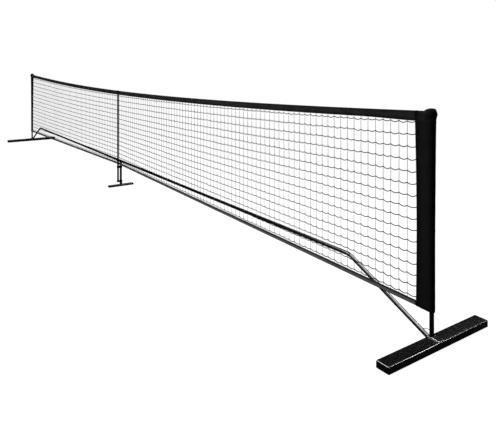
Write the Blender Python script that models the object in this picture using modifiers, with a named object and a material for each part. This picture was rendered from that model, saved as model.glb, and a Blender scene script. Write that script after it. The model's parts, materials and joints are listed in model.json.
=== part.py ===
"""Portable pickleball net on a steel tube frame.

X runs along the net, Y across it and Z up. The origin is on the ground at the net's centre.
The net hangs on the -Y side of the frame. Lengths are in metres.
"""

import math

import bmesh
import bpy
from mathutils import Matrix, Vector

# Court sizes
POST_SPAN = 6.706  # between the axes of the two posts
NET_TOP_AT_POST = 0.930
NET_TOP_AT_CENTRE = 0.854
HEM_AT_POST = 0.131  # lowest edge of the net at the posts
HEM_AT_CENTRE = 0.191

# Round tubes of the frame
TUBE_DIAMETER = 0.019
TUBE_WALL = 0.0012
SPIGOT_LENGTH = 0.045  # narrowed end that goes into the next tube
NECK_LENGTH = 0.006  # taper between the full tube and its spigot
BEND_FROM_POST = 0.463  # post axis to the corner of the elbow
BEND_RADIUS = 0.070
BAR_HEIGHT = 0.224  # axis of the level bar
ELBOW_REACH = 0.550  # elbow's level arm, from its corner
TUBES_PER_HALF = 2
TEE_HALF_LENGTH = 0.060  # centre to the shoulder of each arm

# End feet
FOOT_LENGTH = 0.620
FOOT_WIDTH = 0.063
FOOT_HEIGHT = 0.029
FOOT_WALL = 0.0016
FOOT_CORNER = 0.003
FOOT_EDGE_MARGIN = 0.002  # inner side of the foot to the skin of the post
CAP_FLANGE = 0.006
CAP_PLUG = 0.016
CAP_ROUNDING = 0.0035
CAP_SHOULDER = 0.3  # share of a cap's rounding at the corner between its two slopes
STUB_LENGTH = 0.088  # from the foot's side to the mouth, along the slope
STUB_ROOT_HEIGHT = 0.0185
PLATE_THICKNESS = 0.003
PLATE_LENGTH = 0.032
PLATE_MARGIN = 0.0005
POST_SPIGOT_HEIGHT = 0.100
POST_BUTTON_HEIGHT = 0.045  # above the plate
BOLT_FROM_POST = 0.031
BOLT_DIAMETER = 0.006
BOLT_HEAD_DIAMETER = 0.0230
BOLT_HEAD_HEIGHT = 0.0045
BOLT_END = 0.003  # thread that shows past the nut
NUT_WIDTH = 0.011
NUT_HEIGHT = 0.005
STAY_DIAMETER = 0.0024
STAY_ON_POST = 0.019  # above the foot of the post
STAY_ON_STUB = 0.038  # from the foot's side, along the slope
STAY_RISE = 0.003
POST_CAP_HEAD = 0.003
POST_CAP_PLUG = 0.020

# Centre support
CENTRE_FOOT_LENGTH = 0.227
CENTRE_FOOT_WIDTH = 0.040
CENTRE_FOOT_HEIGHT = 0.015
CENTRE_CAP_FLANGE = 0.004
CENTRE_CAP_PLUG = 0.012
CENTRE_CAP_ROUNDING = 0.002
SOCKET_HEIGHT = 0.036
SOCKET_WALL = 0.0015
SOCKET_BUTTON_DEPTH = 0.021  # below the socket's mouth, under the rod's cup
ROD_DIAMETER = 0.016
ROD_WALL = 0.001
ROD_ABOVE_BAND = 0.006
ROD_TIP_HEIGHT = 0.014
ROD_TIP_PLUG = 0.012
HOLDER_WALL = 0.0022
CUP_HEIGHT = 0.014
CUP_FLOOR = 0.003
CLIP_HEIGHT = 0.018
CLIP_BELOW_HEM = 0.010
LOOP_HEIGHT = 0.028
LOOP_BELOW_TOP = 0.005
LOOP_FLAP = 0.009
LOOP_SLACK = 0.001

# Snap buttons
BUTTON_DIAMETER = 0.007
BUTTON_PROUD = 0.0035
BUTTON_FROM_MOUTH = 0.022
LEAF_WIDTH = 0.005
LEAF_THICKNESS = 0.0008
LEAF_LENGTH = 0.020
LEAF_BEND = 0.0022

# Net and fabric
NET_COLUMNS = 50
NET_ROWS = 5
TWINE = 0.0024
FABRIC = 0.0012
BAND_HEIGHT = 0.036
BAND_CORD_DIAMETER = 0.0036
HEM_HEIGHT = 0.018
HEM_CORD_DIAMETER = 0.0040
SEAM_DEPTH = 0.010  # how far the net's edge is sewn into the fabric
SLEEVE_WIDTH = 0.068  # post axis to the sleeve's inner edge
SLEEVE_SLACK = 0.001  # between the sleeve and the post
HOOD_SLACK = 0.005
HOOD_RISE = 0.009  # the post lifts the hood above the band
HOOD_SLOPE_START = 0.032  # from the post's axis
TAPE_STATIONS = 20

GAP = 0.0003  # between pieces that touch
TURN_STEPS = 16
BORE_STEPS = 12
HOLDER_STEPS = 10
STAY_STEPS = 8
WELD = 1e-5  # points closer than this become one

# Sizes that follow
TUBE_RADIUS = TUBE_DIAMETER / 2
BORE_RADIUS = TUBE_RADIUS - TUBE_WALL
SPIGOT_RADIUS = BORE_RADIUS - GAP
SPIGOT_BORE = SPIGOT_RADIUS - TUBE_WALL
SOCKET_RADIUS = TUBE_RADIUS + GAP + SOCKET_WALL
ROD_RADIUS = ROD_DIAMETER / 2
BUTTON_RADIUS = BUTTON_DIAMETER / 2
POST_X = POST_SPAN / 2
FOOT_INNER_X = POST_X - TUBE_RADIUS - FOOT_EDGE_MARGIN
FOOT_X = FOOT_INNER_X + FOOT_WIDTH / 2
PLATE_TOP = FOOT_HEIGHT + GAP + PLATE_THICKNESS
BEND_X = POST_X - BEND_FROM_POST
ELBOW_MOUTH_X = BEND_X - ELBOW_REACH
BAR_TUBE_LENGTH = (ELBOW_MOUTH_X - TEE_HALF_LENGTH) / TUBES_PER_HALF
STUB_ROOT = Vector((FOOT_INNER_X, 0, STUB_ROOT_HEIGHT))
BEND = Vector((BEND_X, 0, BAR_HEIGHT))
SLOPE = (BEND - STUB_ROOT).normalized()
STUB_MOUTH = STUB_ROOT + SLOPE * STUB_LENGTH
SLOPE_UP = Vector((-SLOPE.z, 0, SLOPE.x)) * (1 if SLOPE.x > 0 else -1)

TAPE_HALF = TWINE / 2 + GAP + FABRIC  # outside of the fabric where it grips the net
BAND_HALF = BAND_CORD_DIAMETER / 2 + GAP + FABRIC
HEM_HALF = HEM_CORD_DIAMETER / 2 + GAP + FABRIC
NET_Y = -(TUBE_RADIUS + GAP + max(HEM_HALF, BAND_HALF, TAPE_HALF))
ROD_Y = NET_Y - max(HEM_HALF, BAND_HALF) - FABRIC - GAP - ROD_RADIUS
SLEEVE_RADIUS = TUBE_RADIUS + GAP + FABRIC + SLEEVE_SLACK
HOOD_RADIUS = TUBE_RADIUS + GAP + FABRIC + HOOD_SLACK
SLEEVE_EDGE_X = POST_X - SLEEVE_WIDTH
HOOD_BOTTOM = NET_TOP_AT_POST - BAND_HEIGHT
HOOD_TOP = NET_TOP_AT_POST + HOOD_RISE
POST_TOP = HOOD_TOP - FABRIC - GAP - POST_CAP_HEAD - GAP

TEE_BOTTOM = CENTRE_FOOT_HEIGHT + GAP
SOCKET_TOP = TEE_BOTTOM + SOCKET_HEIGHT
CUP_BOTTOM = SOCKET_TOP - CUP_HEIGHT
ROD_BOTTOM = CUP_BOTTOM + CUP_FLOOR + GAP
CLIP_TOP = HEM_AT_CENTRE - CLIP_BELOW_HEM

GLOSS_BLACK = ("gloss_black_enamel", (0.010, 0.010, 0.011), 0.22, 0.6)
PLATE_BLACK = ("satin_black_steel", (0.020, 0.020, 0.021), 0.35, 0.7)
BLACK_PLASTIC = ("black_plastic", (0.015, 0.015, 0.016), 0.45, 0.0)
ZINC = ("zinc_plate", (0.45, 0.46, 0.47), 0.35, 1.0)
BLACK_FABRIC = ("black_polyester", (0.012, 0.012, 0.013), 0.8, 0.0)
TWINE_GREY = ("black_twine", (0.030, 0.030, 0.032), 0.75, 0.0)
ROPE = ("braided_rope", (0.10, 0.10, 0.10), 0.8, 0.0)

UP = Vector((0, 0, 1))
MIRROR = Matrix.Scale(-1, 4, Vector((1, 0, 0)))


def top_edge(x):
    """Height of the net's top edge: a parabola from post to post."""
    rise = NET_TOP_AT_POST - NET_TOP_AT_CENTRE
    return NET_TOP_AT_CENTRE + rise * (x / POST_X) ** 2


def hem_edge(x):
    """Height of the net's lowest edge."""
    drop = HEM_AT_CENTRE - HEM_AT_POST
    return HEM_AT_CENTRE - drop * abs(x) / POST_X


# Scene, materials and objects


def clear_scene():
    for obj in list(bpy.data.objects):
        bpy.data.objects.remove(obj)


def new_collection(name):
    made = bpy.data.collections.new(name)
    bpy.context.scene.collection.children.link(made)
    return made


def material(finish):
    name, colour, roughness, metallic = finish
    found = bpy.data.materials.get(name)
    if found:
        return found
    made = bpy.data.materials.new(name)
    made.use_nodes = True
    shader = made.node_tree.nodes["Principled BSDF"]
    shader.inputs["Base Color"].default_value = (*colour, 1)
    shader.inputs["Roughness"].default_value = roughness
    shader.inputs["Metallic"].default_value = metallic
    made.diffuse_color = (*colour, 1)
    return made


def add_object(name, data, finish, place=None, smooth=True):
    """A new part. place is the matrix that sets its origin and turn."""
    data.name = name
    data.materials.clear()
    data.materials.append(material(finish))
    made = bpy.data.objects.new(name, data)
    PARTS.objects.link(made)
    made.matrix_world = Matrix() if place is None else place
    if smooth and made.type == "MESH":
        data.shade_smooth()
        data.set_sharp_from_angle(angle=math.radians(35))
    return made


def plain_mesh(obj):
    """The object's evaluated mesh, welded, with no modifiers."""
    bpy.context.view_layer.update()
    graph = bpy.context.evaluated_depsgraph_get()
    mesh = bpy.data.meshes.new_from_object(obj.evaluated_get(graph))
    work = bmesh.new()
    work.from_mesh(mesh)
    bmesh.ops.remove_doubles(work, verts=work.verts, dist=1e-6)
    work.to_mesh(mesh)
    work.free()
    return mesh


def cut_from(obj, cutter, operation="DIFFERENCE"):
    """Adds a Boolean with a helper object, which is then hidden."""
    for owner in cutter.users_collection:
        owner.objects.unlink(cutter)
    CUTTERS.objects.link(cutter)
    cutter.name = f"cutter_{len(CUTTERS.objects)}"
    cutter.hide_render = True
    cutter.display_type = "WIRE"
    change = obj.modifiers.new(operation.title(), "BOOLEAN")
    change.operation = operation
    change.object = cutter
    return obj


def mirrored(obj):
    """The same piece at the other end of the net, as its own object."""
    mesh = plain_mesh(obj)
    mesh.transform(MIRROR)
    mesh.flip_normals()
    name = obj.name.replace("right", "left")
    made = bpy.data.objects.new(name, mesh)
    mesh.name = name
    PARTS.objects.link(made)
    made.matrix_world = MIRROR @ obj.matrix_world @ MIRROR
    return made


def axes(origin, along, side):
    """A place whose Z axis runs along `along` and whose X axis points to `side`."""
    z = Vector(along).normalized()
    x = (Vector(side) - Vector(side).dot(z) * z).normalized()
    y = z.cross(x)
    turn = Matrix((x, y, z)).transposed().to_4x4()
    return Matrix.Translation(origin) @ turn


# Shapes


def turned(name, profile, finish, place=None, closed=True, steps=TURN_STEPS):
    """A turned piece. The profile of (radius, height) runs down the outer side."""
    mesh = bpy.data.meshes.new(name)
    points = [(radius, 0, height) for radius, height in profile]
    edges = [(i, i + 1) for i in range(len(points) - 1)]
    if closed:
        edges.append((len(points) - 1, 0))
    mesh.from_pydata(points, edges, [])
    made = add_object(name, mesh, finish, place)
    turn = made.modifiers.new("Turn", "SCREW")
    turn.steps = turn.render_steps = steps
    turn.use_merge_vertices = True
    turn.merge_threshold = WELD
    turn.use_smooth_shade = True
    made.data = smooth_mesh(made)
    made.modifiers.clear()
    return made


def smooth_mesh(obj):
    mesh = plain_mesh(obj)
    mesh.shade_smooth()
    mesh.set_sharp_from_angle(angle=math.radians(35))
    return mesh


def rod(name, radius, low, high, finish, place=None, steps=TURN_STEPS):
    profile = [(0, high), (radius, high), (radius, low), (0, low)]
    return turned(name, profile, finish, place, closed=False, steps=steps)


def pipe(name, outer, inner, low, high, finish, place=None):
    profile = [(outer, high), (outer, low), (inner, low), (inner, high)]
    return turned(name, profile, finish, place)


def hole(target, place, radius, low, high, steps=BORE_STEPS):
    """Drills along the place's Z axis, from low to high."""
    return cut_from(target, rod("drill", radius, low, high, ZINC, place, steps))


def circle(radius, centre=(0, 0), points=TURN_STEPS):
    turns = [2 * math.pi * i / points for i in range(points)]
    return [(centre[0] + radius * math.cos(t), centre[1] + radius * math.sin(t)) for t in turns]


def rounded_rectangle(width, height, radius, corner_points=3):
    """Corners run anticlockwise from the right of the top edge."""
    outline = []
    for quarter in range(4):
        sign_x = 1 if quarter in (0, 3) else -1
        sign_y = 1 if quarter in (0, 1) else -1
        centre = (sign_x * (width / 2 - radius), sign_y * (height / 2 - radius))
        for i in range(corner_points):
            t = math.pi / 2 * (quarter + i / (corner_points - 1))
            outline.append((centre[0] + radius * math.cos(t), centre[1] + radius * math.sin(t)))
    return outline


def extruded(name, outlines, thickness, finish, place=None):
    """A flat outline with its holes, thick along the place's Z axis."""
    curve = bpy.data.curves.new(name, "CURVE")
    curve.dimensions = "2D"
    curve.fill_mode = "BOTH"
    curve.extrude = thickness / 2
    for outline in outlines:
        spline = curve.splines.new("POLY")
        spline.points.add(len(outline) - 1)
        for point, (x, y) in zip(spline.points, outline):
            point.co = (x, y, 0, 1)
        spline.use_cyclic_u = True
    helper = bpy.data.objects.new(name, curve)
    PARTS.objects.link(helper)
    mesh = plain_mesh(helper)
    bpy.data.objects.remove(helper)
    return add_object(name, mesh, finish, place)


def swept(name, points, radius, finish, scales=None, caps=True, resolution=6):
    """A round piece along a path. Each point may scale the radius."""
    curve = bpy.data.curves.new(name, "CURVE")
    curve.dimensions = "3D"
    curve.bevel_depth = radius
    curve.bevel_resolution = resolution
    curve.use_fill_caps = caps
    spline = curve.splines.new("POLY")
    spline.points.add(len(points) - 1)
    for i, (point, co) in enumerate(zip(spline.points, points)):
        point.co = (*co, 1)
        point.radius = scales[i] if scales else 1
    helper = bpy.data.objects.new(name, curve)
    PARTS.objects.link(helper)
    mesh = plain_mesh(helper)
    bpy.data.objects.remove(helper)
    return add_object(name, mesh, finish)


def walled(obj, thickness):
    """Gives an open surface a wall on its inner side."""
    wall = obj.modifiers.new("Wall", "SOLIDIFY")
    wall.thickness = thickness
    wall.offset = -1
    wall.use_even_offset = True
    return obj


def strip(name, path, low, high, thickness, finish, place=None, roof_height=None):
    """A bent strip: a path in XY with a wall on the left of its run, from low to high.

    roof_height(x) adds a roof over the path in place of the upper edge at `high`.
    """
    heights = [roof_height(x) if roof_height else high for x, y in path]
    work = bmesh.new()
    floor = [work.verts.new((x, y, low)) for x, y in path]
    roof = [work.verts.new((x, y, z)) for (x, y), z in zip(path, heights)]
    for i in range(len(path) - 1):
        work.faces.new((floor[i], floor[i + 1], roof[i + 1], roof[i]))
    if roof_height:
        for i in range(len(path) // 2):
            corners = (roof[i], roof[i + 1], roof[-i - 2], roof[-i - 1])
            work.faces.new(dict.fromkeys(corners))
    mesh = bpy.data.meshes.new(name)
    work.to_mesh(mesh)
    work.free()
    return walled(add_object(name, mesh, finish, place), thickness)


def lofted(name, rings, finish, place=None):
    """A closed solid through rings that have equally many points, from low to high."""
    work = bmesh.new()
    loops = [[work.verts.new(point) for point in ring] for ring in rings]
    count = len(rings[0])
    for low, high in zip(loops, loops[1:]):
        for i in range(count):
            j = (i + 1) % count
            work.faces.new((low[i], low[j], high[j], high[i]))
    work.faces.new(reversed(loops[0]))
    work.faces.new(loops[-1])
    mesh = bpy.data.meshes.new(name)
    work.to_mesh(mesh)
    work.free()
    return add_object(name, mesh, finish, place)


# Tubes and their joints


def snap_button(skin, bore):
    """Mesh of a snap button with its spring leaf, for a tube of that skin and bore.

    Z points out of the tube and X runs along it, into the piece that holds the leaf.
    """
    tip = skin + BUTTON_PROUD
    side = bore * 0.9
    leaf_out = math.sqrt(side**2 - (LEAF_WIDTH / 2) ** 2)
    dome = BUTTON_RADIUS / 2
    base = leaf_out - LEAF_THICKNESS / 2
    profile = [(0, tip)]
    for t in (35, 65, 90):
        turn = math.radians(t)
        profile.append((BUTTON_RADIUS * math.sin(turn), tip - dome * (1 - math.cos(turn))))
    profile += [(BUTTON_RADIUS, base), (0, base)]
    button = turned("button", profile, ZINC, closed=False, steps=BORE_STEPS)

    back = [(-1.25 * BUTTON_RADIUS, leaf_out)]
    for t in range(0, 181, 45):
        turn = math.radians(t)
        back.append(
            (LEAF_LENGTH + LEAF_BEND * math.sin(turn), leaf_out - LEAF_BEND * (1 - math.cos(turn)))
        )
    back.append((0, -LEAF_BEND / 2))
    stand = Matrix.Rotation(math.pi / 2, 4, "X")
    leaf = strip("leaf", back[::-1], -LEAF_WIDTH / 2, LEAF_WIDTH / 2, LEAF_THICKNESS, ZINC, stand)
    cut_from(button, leaf, "UNION")
    mesh = smooth_mesh(button)
    bpy.data.objects.remove(button)
    return mesh


def add_button(name, mesh, origin, out, into):
    """A button at `origin` on a tube's axis, pointing `out`, with its leaf along `into`."""
    z = Vector(out).normalized()
    x = Vector(into).normalized()
    turn = Matrix((x, z.cross(x), z)).transposed().to_4x4()
    return add_object(name, mesh, ZINC, Matrix.Translation(origin) @ turn, smooth=False)


def button_hole(target, origin, out):
    side = UP if abs(Vector(out).z) < 0.5 else Vector((1, 0, 0))
    return hole(target, axes(origin, out, side), BUTTON_RADIUS + GAP, 0, 2 * SOCKET_RADIUS)


def swaged_profile(length):
    """Tube with a spigot. Height 0 is the shoulder, and the mouth is at -length."""
    return [
        (SPIGOT_RADIUS, SPIGOT_LENGTH),
        (SPIGOT_RADIUS, 0),
        (TUBE_RADIUS, -NECK_LENGTH),
        (TUBE_RADIUS, -length),
        (BORE_RADIUS, -length),
        (BORE_RADIUS, -NECK_LENGTH),
        (SPIGOT_BORE, 0),
        (SPIGOT_BORE, SPIGOT_LENGTH),
    ]


def make_bar_tube(name, shoulder_x):
    """A straight tube of the level bar. Its spigot points to the post."""
    outward = Vector((1, 0, 0))
    place = axes((shoulder_x, 0, BAR_HEIGHT), outward, UP)
    tube = turned(name, swaged_profile(BAR_TUBE_LENGTH), GLOSS_BLACK, place)
    button_hole(tube, (shoulder_x + BUTTON_FROM_MOUTH, 0, BAR_HEIGHT), UP)
    mouth_x = shoulder_x - BAR_TUBE_LENGTH
    button_hole(tube, (mouth_x + BUTTON_FROM_MOUTH, 0, BAR_HEIGHT), UP)
    return tube


def make_elbow(name):
    """From the spigot in the brace stub, up the slope and round to the level arm."""
    turn = math.atan2(SLOPE.z, -SLOPE.x)
    setback = BEND_RADIUS * math.tan(turn / 2)
    narrow = SPIGOT_RADIUS / TUBE_RADIUS
    shoulder = STUB_MOUTH
    points = [shoulder - SLOPE * SPIGOT_LENGTH, shoulder, shoulder + SLOPE * NECK_LENGTH]
    scales = [narrow, narrow, 1]
    centre = BEND + Vector((-setback, 0, -BEND_RADIUS))
    steps = 6
    for i in range(steps + 1):
        t = turn * (1 - i / steps)
        points.append(centre + BEND_RADIUS * Vector((math.sin(t), 0, math.cos(t))))
        scales.append(1)
    points.append(Vector((ELBOW_MOUTH_X, 0, BAR_HEIGHT)))
    scales.append(1)
    elbow = swept(name, points, TUBE_RADIUS, GLOSS_BLACK, scales, caps=False)
    walled(elbow, TUBE_WALL)
    button_hole(elbow, STUB_MOUTH - SLOPE * BUTTON_FROM_MOUTH, SLOPE_UP)
    button_hole(elbow, (ELBOW_MOUTH_X + BUTTON_FROM_MOUTH, 0, BAR_HEIGHT), UP)
    return elbow


# End bases


def make_foot(name, x, length, width, height):
    """A rectangular tube that lies along Y."""
    outer = rounded_rectangle(width, height, FOOT_CORNER)
    corner = max(FOOT_CORNER - FOOT_WALL, FOOT_CORNER / 4)
    inner = rounded_rectangle(width - 2 * FOOT_WALL, height - 2 * FOOT_WALL, corner)
    place = axes((x, 0, height / 2), (0, -1, 0), (1, 0, 0))
    return extruded(name, [outer, inner[::-1]], length, GLOSS_BLACK, place)


def make_foot_cap(name, x, face_y, width, height, flange, plug, rounding):
    """A plastic end cap: a plug inside the foot tube and a rounded flange on its end."""
    inset = FOOT_WALL + GAP
    sections = [
        (inset, -plug),
        (inset, GAP),
        (0, GAP),
        (0, flange - rounding),
        (rounding * CAP_SHOULDER, flange - rounding * CAP_SHOULDER),
        (rounding, flange),
    ]
    rings = []
    for shrink, out in sections:
        corner = max(FOOT_CORNER - shrink / 2, FOOT_CORNER / 3)
        ring = rounded_rectangle(width - 2 * shrink, height - 2 * shrink, corner)
        rings.append([(px, py, out) for px, py in ring])
    outward = (0, math.copysign(1, face_y), 0)
    place = axes((x, face_y, height / 2), outward, (1, 0, 0))
    return lofted(name, rings, BLACK_PLASTIC, place)


def make_foot_caps(prefix, suffix, x, length, width, height, flange, plug, rounding):
    for label, sign in (("front", -1), ("rear", 1)):
        name = f"{prefix}_cap_{label}{suffix}"
        face_y = sign * (length / 2 - flange)
        yield make_foot_cap(name, x, face_y, width, height, flange, plug, rounding)


def make_post_bracket(name):
    """Plate across the foot with the upright spigot that carries the post."""
    width = FOOT_WIDTH - 2 * PLATE_MARGIN
    outline = rounded_rectangle(width, PLATE_LENGTH, PLATE_MARGIN * 4)
    middle = PLATE_TOP - PLATE_THICKNESS / 2
    plate = extruded(
        name, [outline], PLATE_THICKNESS, PLATE_BLACK, Matrix.Translation((FOOT_X, 0, middle))
    )
    foot = Matrix.Translation((POST_X, 0, PLATE_TOP))
    spigot = pipe(
        "spigot", SPIGOT_RADIUS, SPIGOT_BORE, -PLATE_THICKNESS / 2, POST_SPIGOT_HEIGHT, ZINC, foot
    )
    cut_from(plate, spigot, "UNION")
    button_hole(plate, (POST_X, 0, PLATE_TOP + POST_BUTTON_HEIGHT), (0, 1, 0))
    bolt_place = Matrix.Translation((POST_X + BOLT_FROM_POST, 0, 0))
    return hole(plate, bolt_place, BOLT_DIAMETER / 2 + GAP, 0, 2 * PLATE_TOP)


def make_bolt(name):
    shank = BOLT_DIAMETER / 2
    head = BOLT_HEAD_DIAMETER / 2
    under = PLATE_TOP + GAP
    end = FOOT_HEIGHT - FOOT_WALL - GAP - NUT_HEIGHT - BOLT_END
    profile = [
        (0, under + BOLT_HEAD_HEIGHT),
        (head * 0.45, under + BOLT_HEAD_HEIGHT * 0.95),
        (head * 0.8, under + BOLT_HEAD_HEIGHT * 0.7),
        (head, under + BOLT_HEAD_HEIGHT * 0.25),
        (head, under),
        (shank, under),
        (shank, end),
        (0, end),
    ]
    place = Matrix.Translation((POST_X + BOLT_FROM_POST, 0, 0))
    return turned(name, profile, PLATE_BLACK, place, closed=False)


def make_nut(name):
    reach = NUT_WIDTH / 2 / math.cos(math.pi / 6)
    top = FOOT_HEIGHT - FOOT_WALL - GAP
    outlines = [circle(reach, points=6), circle(BOLT_DIAMETER / 2 + GAP, points=BORE_STEPS)[::-1]]
    place = Matrix.Translation((POST_X + BOLT_FROM_POST, 0, top - NUT_HEIGHT / 2))
    return extruded(name, outlines, NUT_HEIGHT, ZINC, place)


def make_stub(name):
    """Inclined socket for the elbow, its foot end cut flush with the foot's side."""
    place = axes(STUB_ROOT, SLOPE, SLOPE_UP)
    stub = pipe(name, TUBE_RADIUS, BORE_RADIUS, -TUBE_DIAMETER, STUB_LENGTH, GLOSS_BLACK, place)
    side = 4 * TUBE_DIAMETER
    box = bpy.data.meshes.new("box")
    work = bmesh.new()
    bmesh.ops.create_cube(work, size=side)
    work.to_mesh(box)
    work.free()
    cutter = add_object("box", box, ZINC, smooth=False)
    cutter.location = (FOOT_INNER_X - GAP + side / 2, 0, 0)
    cut_from(stub, cutter)
    return button_hole(stub, STUB_MOUTH - SLOPE * BUTTON_FROM_MOUTH, SLOPE_UP)


def make_stay(name):
    """Bent wire from the stub's upper side to the post."""
    radius = STAY_DIAMETER / 2
    off = TUBE_RADIUS + GAP + radius
    low = STUB_ROOT + SLOPE * STAY_ON_STUB + SLOPE_UP * off
    high = Vector((POST_X - off + radius / 2, 0, PLATE_TOP + STAY_ON_POST))
    chord = high - low
    middle = (low + high) / 2 + 2 * STAY_RISE * Vector((-chord.z, 0, chord.x)).normalized()
    points = []
    for i in range(STAY_STEPS + 1):
        t = i / STAY_STEPS
        points.append((1 - t) ** 2 * low + 2 * t * (1 - t) * middle + t**2 * high)
    return swept(name, points, radius, ZINC, resolution=2)


def make_post(name):
    place = Matrix.Translation((POST_X, 0, 0))
    post = pipe(name, TUBE_RADIUS, BORE_RADIUS, PLATE_TOP + GAP, POST_TOP, GLOSS_BLACK, place)
    return button_hole(post, (POST_X, 0, PLATE_TOP + POST_BUTTON_HEIGHT), (0, 1, 0))


def make_post_cap(name):
    low = POST_TOP - POST_CAP_PLUG
    seat = POST_TOP + GAP
    profile = [
        (0, seat + POST_CAP_HEAD),
        (TUBE_RADIUS - POST_CAP_HEAD / 3, seat + POST_CAP_HEAD),
        (TUBE_RADIUS, seat + POST_CAP_HEAD * 2 / 3),
        (TUBE_RADIUS, seat),
        (SPIGOT_RADIUS, seat),
        (SPIGOT_RADIUS, low),
        (0, low),
    ]
    place = Matrix.Translation((POST_X, 0, 0))
    return turned(name, profile, BLACK_PLASTIC, place, closed=False)


# Fabric


def post_wrap(nose_half, radius):
    """Outline of fabric round a post, seen from above, from its front edge to its back.

    The post is at (0, 0), and both ends lie at the sleeve's inner edge.
    """
    sewn_x = -SLEEVE_WIDTH + SEAM_DEPTH + TWINE
    front = Vector((sewn_x, NET_Y - nose_half))
    back = Vector((sewn_x, NET_Y + nose_half))
    start = math.atan2(front.y, front.x) + math.acos(radius / front.length)
    end = math.atan2(back.y, back.x) - math.acos(radius / back.length)
    while end < start:
        end += 2 * math.pi
    steps = 12
    turns = [start + (end - start) * i / steps for i in range(steps + 1)]
    arc = [(radius * math.cos(t), radius * math.sin(t)) for t in turns]
    return [(-SLEEVE_WIDTH, front.y), tuple(front), *arc, tuple(back), (-SLEEVE_WIDTH, back.y)]


def divided(path, crossings):
    """The same path with a point added wherever it crosses one of the given x."""
    made = [path[0]]
    for (x0, y0), (x1, y1) in zip(path, path[1:]):
        inside = [x for x in crossings if min(x0, x1) < x < max(x0, x1)]
        for x in sorted(inside, reverse=x1 < x0):
            made.append((x, y0 + (y1 - y0) * (x - x0) / (x1 - x0)))
        made.append((x1, y1))
    return made


def make_sleeve(name):
    place = Matrix.Translation((POST_X, 0, 0))
    low, high = hem_edge(SLEEVE_EDGE_X), HOOD_BOTTOM - GAP
    path = post_wrap(TAPE_HALF, SLEEVE_RADIUS)
    return strip(name, path, low, high, FABRIC, BLACK_FABRIC, place)


def make_hood(name):
    """Sewn end of the top band: it wraps the post and closes over its cap."""
    place = Matrix.Translation((POST_X, 0, 0))
    inner = top_edge(SLEEVE_EDGE_X)

    def height(x):
        """From the band's own height up to the top of the post."""
        t = (x + HOOD_SLOPE_START) / (HOOD_SLOPE_START - TUBE_RADIUS)
        return inner + (HOOD_TOP - inner) * min(1, max(0, t))

    path = divided(post_wrap(BAND_HALF, HOOD_RADIUS), (-HOOD_SLOPE_START, -TUBE_RADIUS))
    return strip(name, path, HOOD_BOTTOM, HOOD_TOP, FABRIC, BLACK_FABRIC, place, height)


def stations(reach):
    return [reach * (2 * i / TAPE_STATIONS - 1) for i in range(TAPE_STATIONS + 1)]


def make_tape(name, edge, height, half, fold_up):
    """Tape folded over an edge of the net. fold_up puts its fold at the top."""
    sign = 1 if fold_up else -1
    section = [(-TAPE_HALF, -height), (-half, -2.5 * half)]
    for t in range(180, -1, -45):
        turn = math.radians(t)
        section.append((half * math.cos(turn), half * (math.sin(turn) - 1)))
    section += [(half, -2.5 * half), (TAPE_HALF, -height)]
    work = bmesh.new()
    rows = []
    for x in stations(SLEEVE_EDGE_X - GAP):
        rows.append([work.verts.new((x, NET_Y + y, edge(x) + sign * z)) for y, z in section])
    for near, far in zip(rows, rows[1:]):
        for i in range(len(section) - 1):
            corners = (near[i], near[i + 1], far[i + 1], far[i])
            work.faces.new(corners if not fold_up else corners[::-1])
    mesh = bpy.data.meshes.new(name)
    work.to_mesh(mesh)
    work.free()
    return walled(add_object(name, mesh, BLACK_FABRIC), FABRIC)


def make_cord(name, edge, diameter, fold_up, past_ends):
    """Cord inside a tape, next to its fold. It may run on past the tape's ends."""
    inset = (FABRIC + GAP + diameter / 2) * (-1 if fold_up else 1)
    points = [(x, NET_Y, edge(x) + inset) for x in stations(SLEEVE_EDGE_X - GAP)]
    if past_ends:
        reach = SLEEVE_EDGE_X + past_ends
        points = [(-reach, NET_Y, points[0][2]), *points, (reach, NET_Y, points[-1][2])]
    return swept(name, points, diameter / 2, ROPE, resolution=1)


def make_net(name):
    """Flat lattice of twine, its outer threads sewn into the tapes and sleeves."""
    reach = SLEEVE_EDGE_X + SEAM_DEPTH
    columns = [reach * (2 * i / NET_COLUMNS - 1) for i in range(NET_COLUMNS + 1)]
    half = TWINE / 2
    low_inset = HEM_HEIGHT - SEAM_DEPTH
    high_inset = BAND_HEIGHT - SEAM_DEPTH

    def height(x, row):
        low = hem_edge(x) + low_inset
        high = top_edge(x) - high_inset
        return low + (high - low) * row / NET_ROWS

    outer = [(x, height(x, 0) - half) for x in columns]
    outer += [(x, height(x, NET_ROWS) + half) for x in reversed(columns)]
    outer[0] = (columns[0] - half, outer[0][1])
    outer[NET_COLUMNS] = (columns[-1] + half, outer[NET_COLUMNS][1])
    outer[NET_COLUMNS + 1] = (columns[-1] + half, outer[NET_COLUMNS + 1][1])
    outer[-1] = (columns[0] - half, outer[-1][1])
    outlines = [outer]
    for left, right in zip(columns, columns[1:]):
        for row in range(NET_ROWS):
            a, b = left + half, right - half
            outlines.append(
                [
                    (a, height(a, row) + half),
                    (a, height(a, row + 1) - half),
                    (b, height(b, row + 1) - half),
                    (b, height(b, row) + half),
                ]
            )
    place = axes((0, NET_Y, 0), (0, -1, 0), (1, 0, 0))
    return extruded(name, outlines, TWINE, TWINE_GREY, place)


# Centre support


def holder_outline(body_radius):
    """Outline round an upright tube at (0, 0) and the rod beside it."""
    small = ROD_RADIUS + GAP + HOLDER_WALL
    lean = math.acos((body_radius - small) / -ROD_Y)
    outline = []
    for i in range(HOLDER_STEPS + 1):
        t = -math.pi / 2 + lean + 2 * (math.pi - lean) * i / HOLDER_STEPS
        outline.append((body_radius * math.cos(t), body_radius * math.sin(t)))
    for i in range(HOLDER_STEPS + 1):
        t = -math.pi / 2 - lean + 2 * lean * i / HOLDER_STEPS
        outline.append((small * math.cos(t), ROD_Y + small * math.sin(t)))
    return outline


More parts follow.
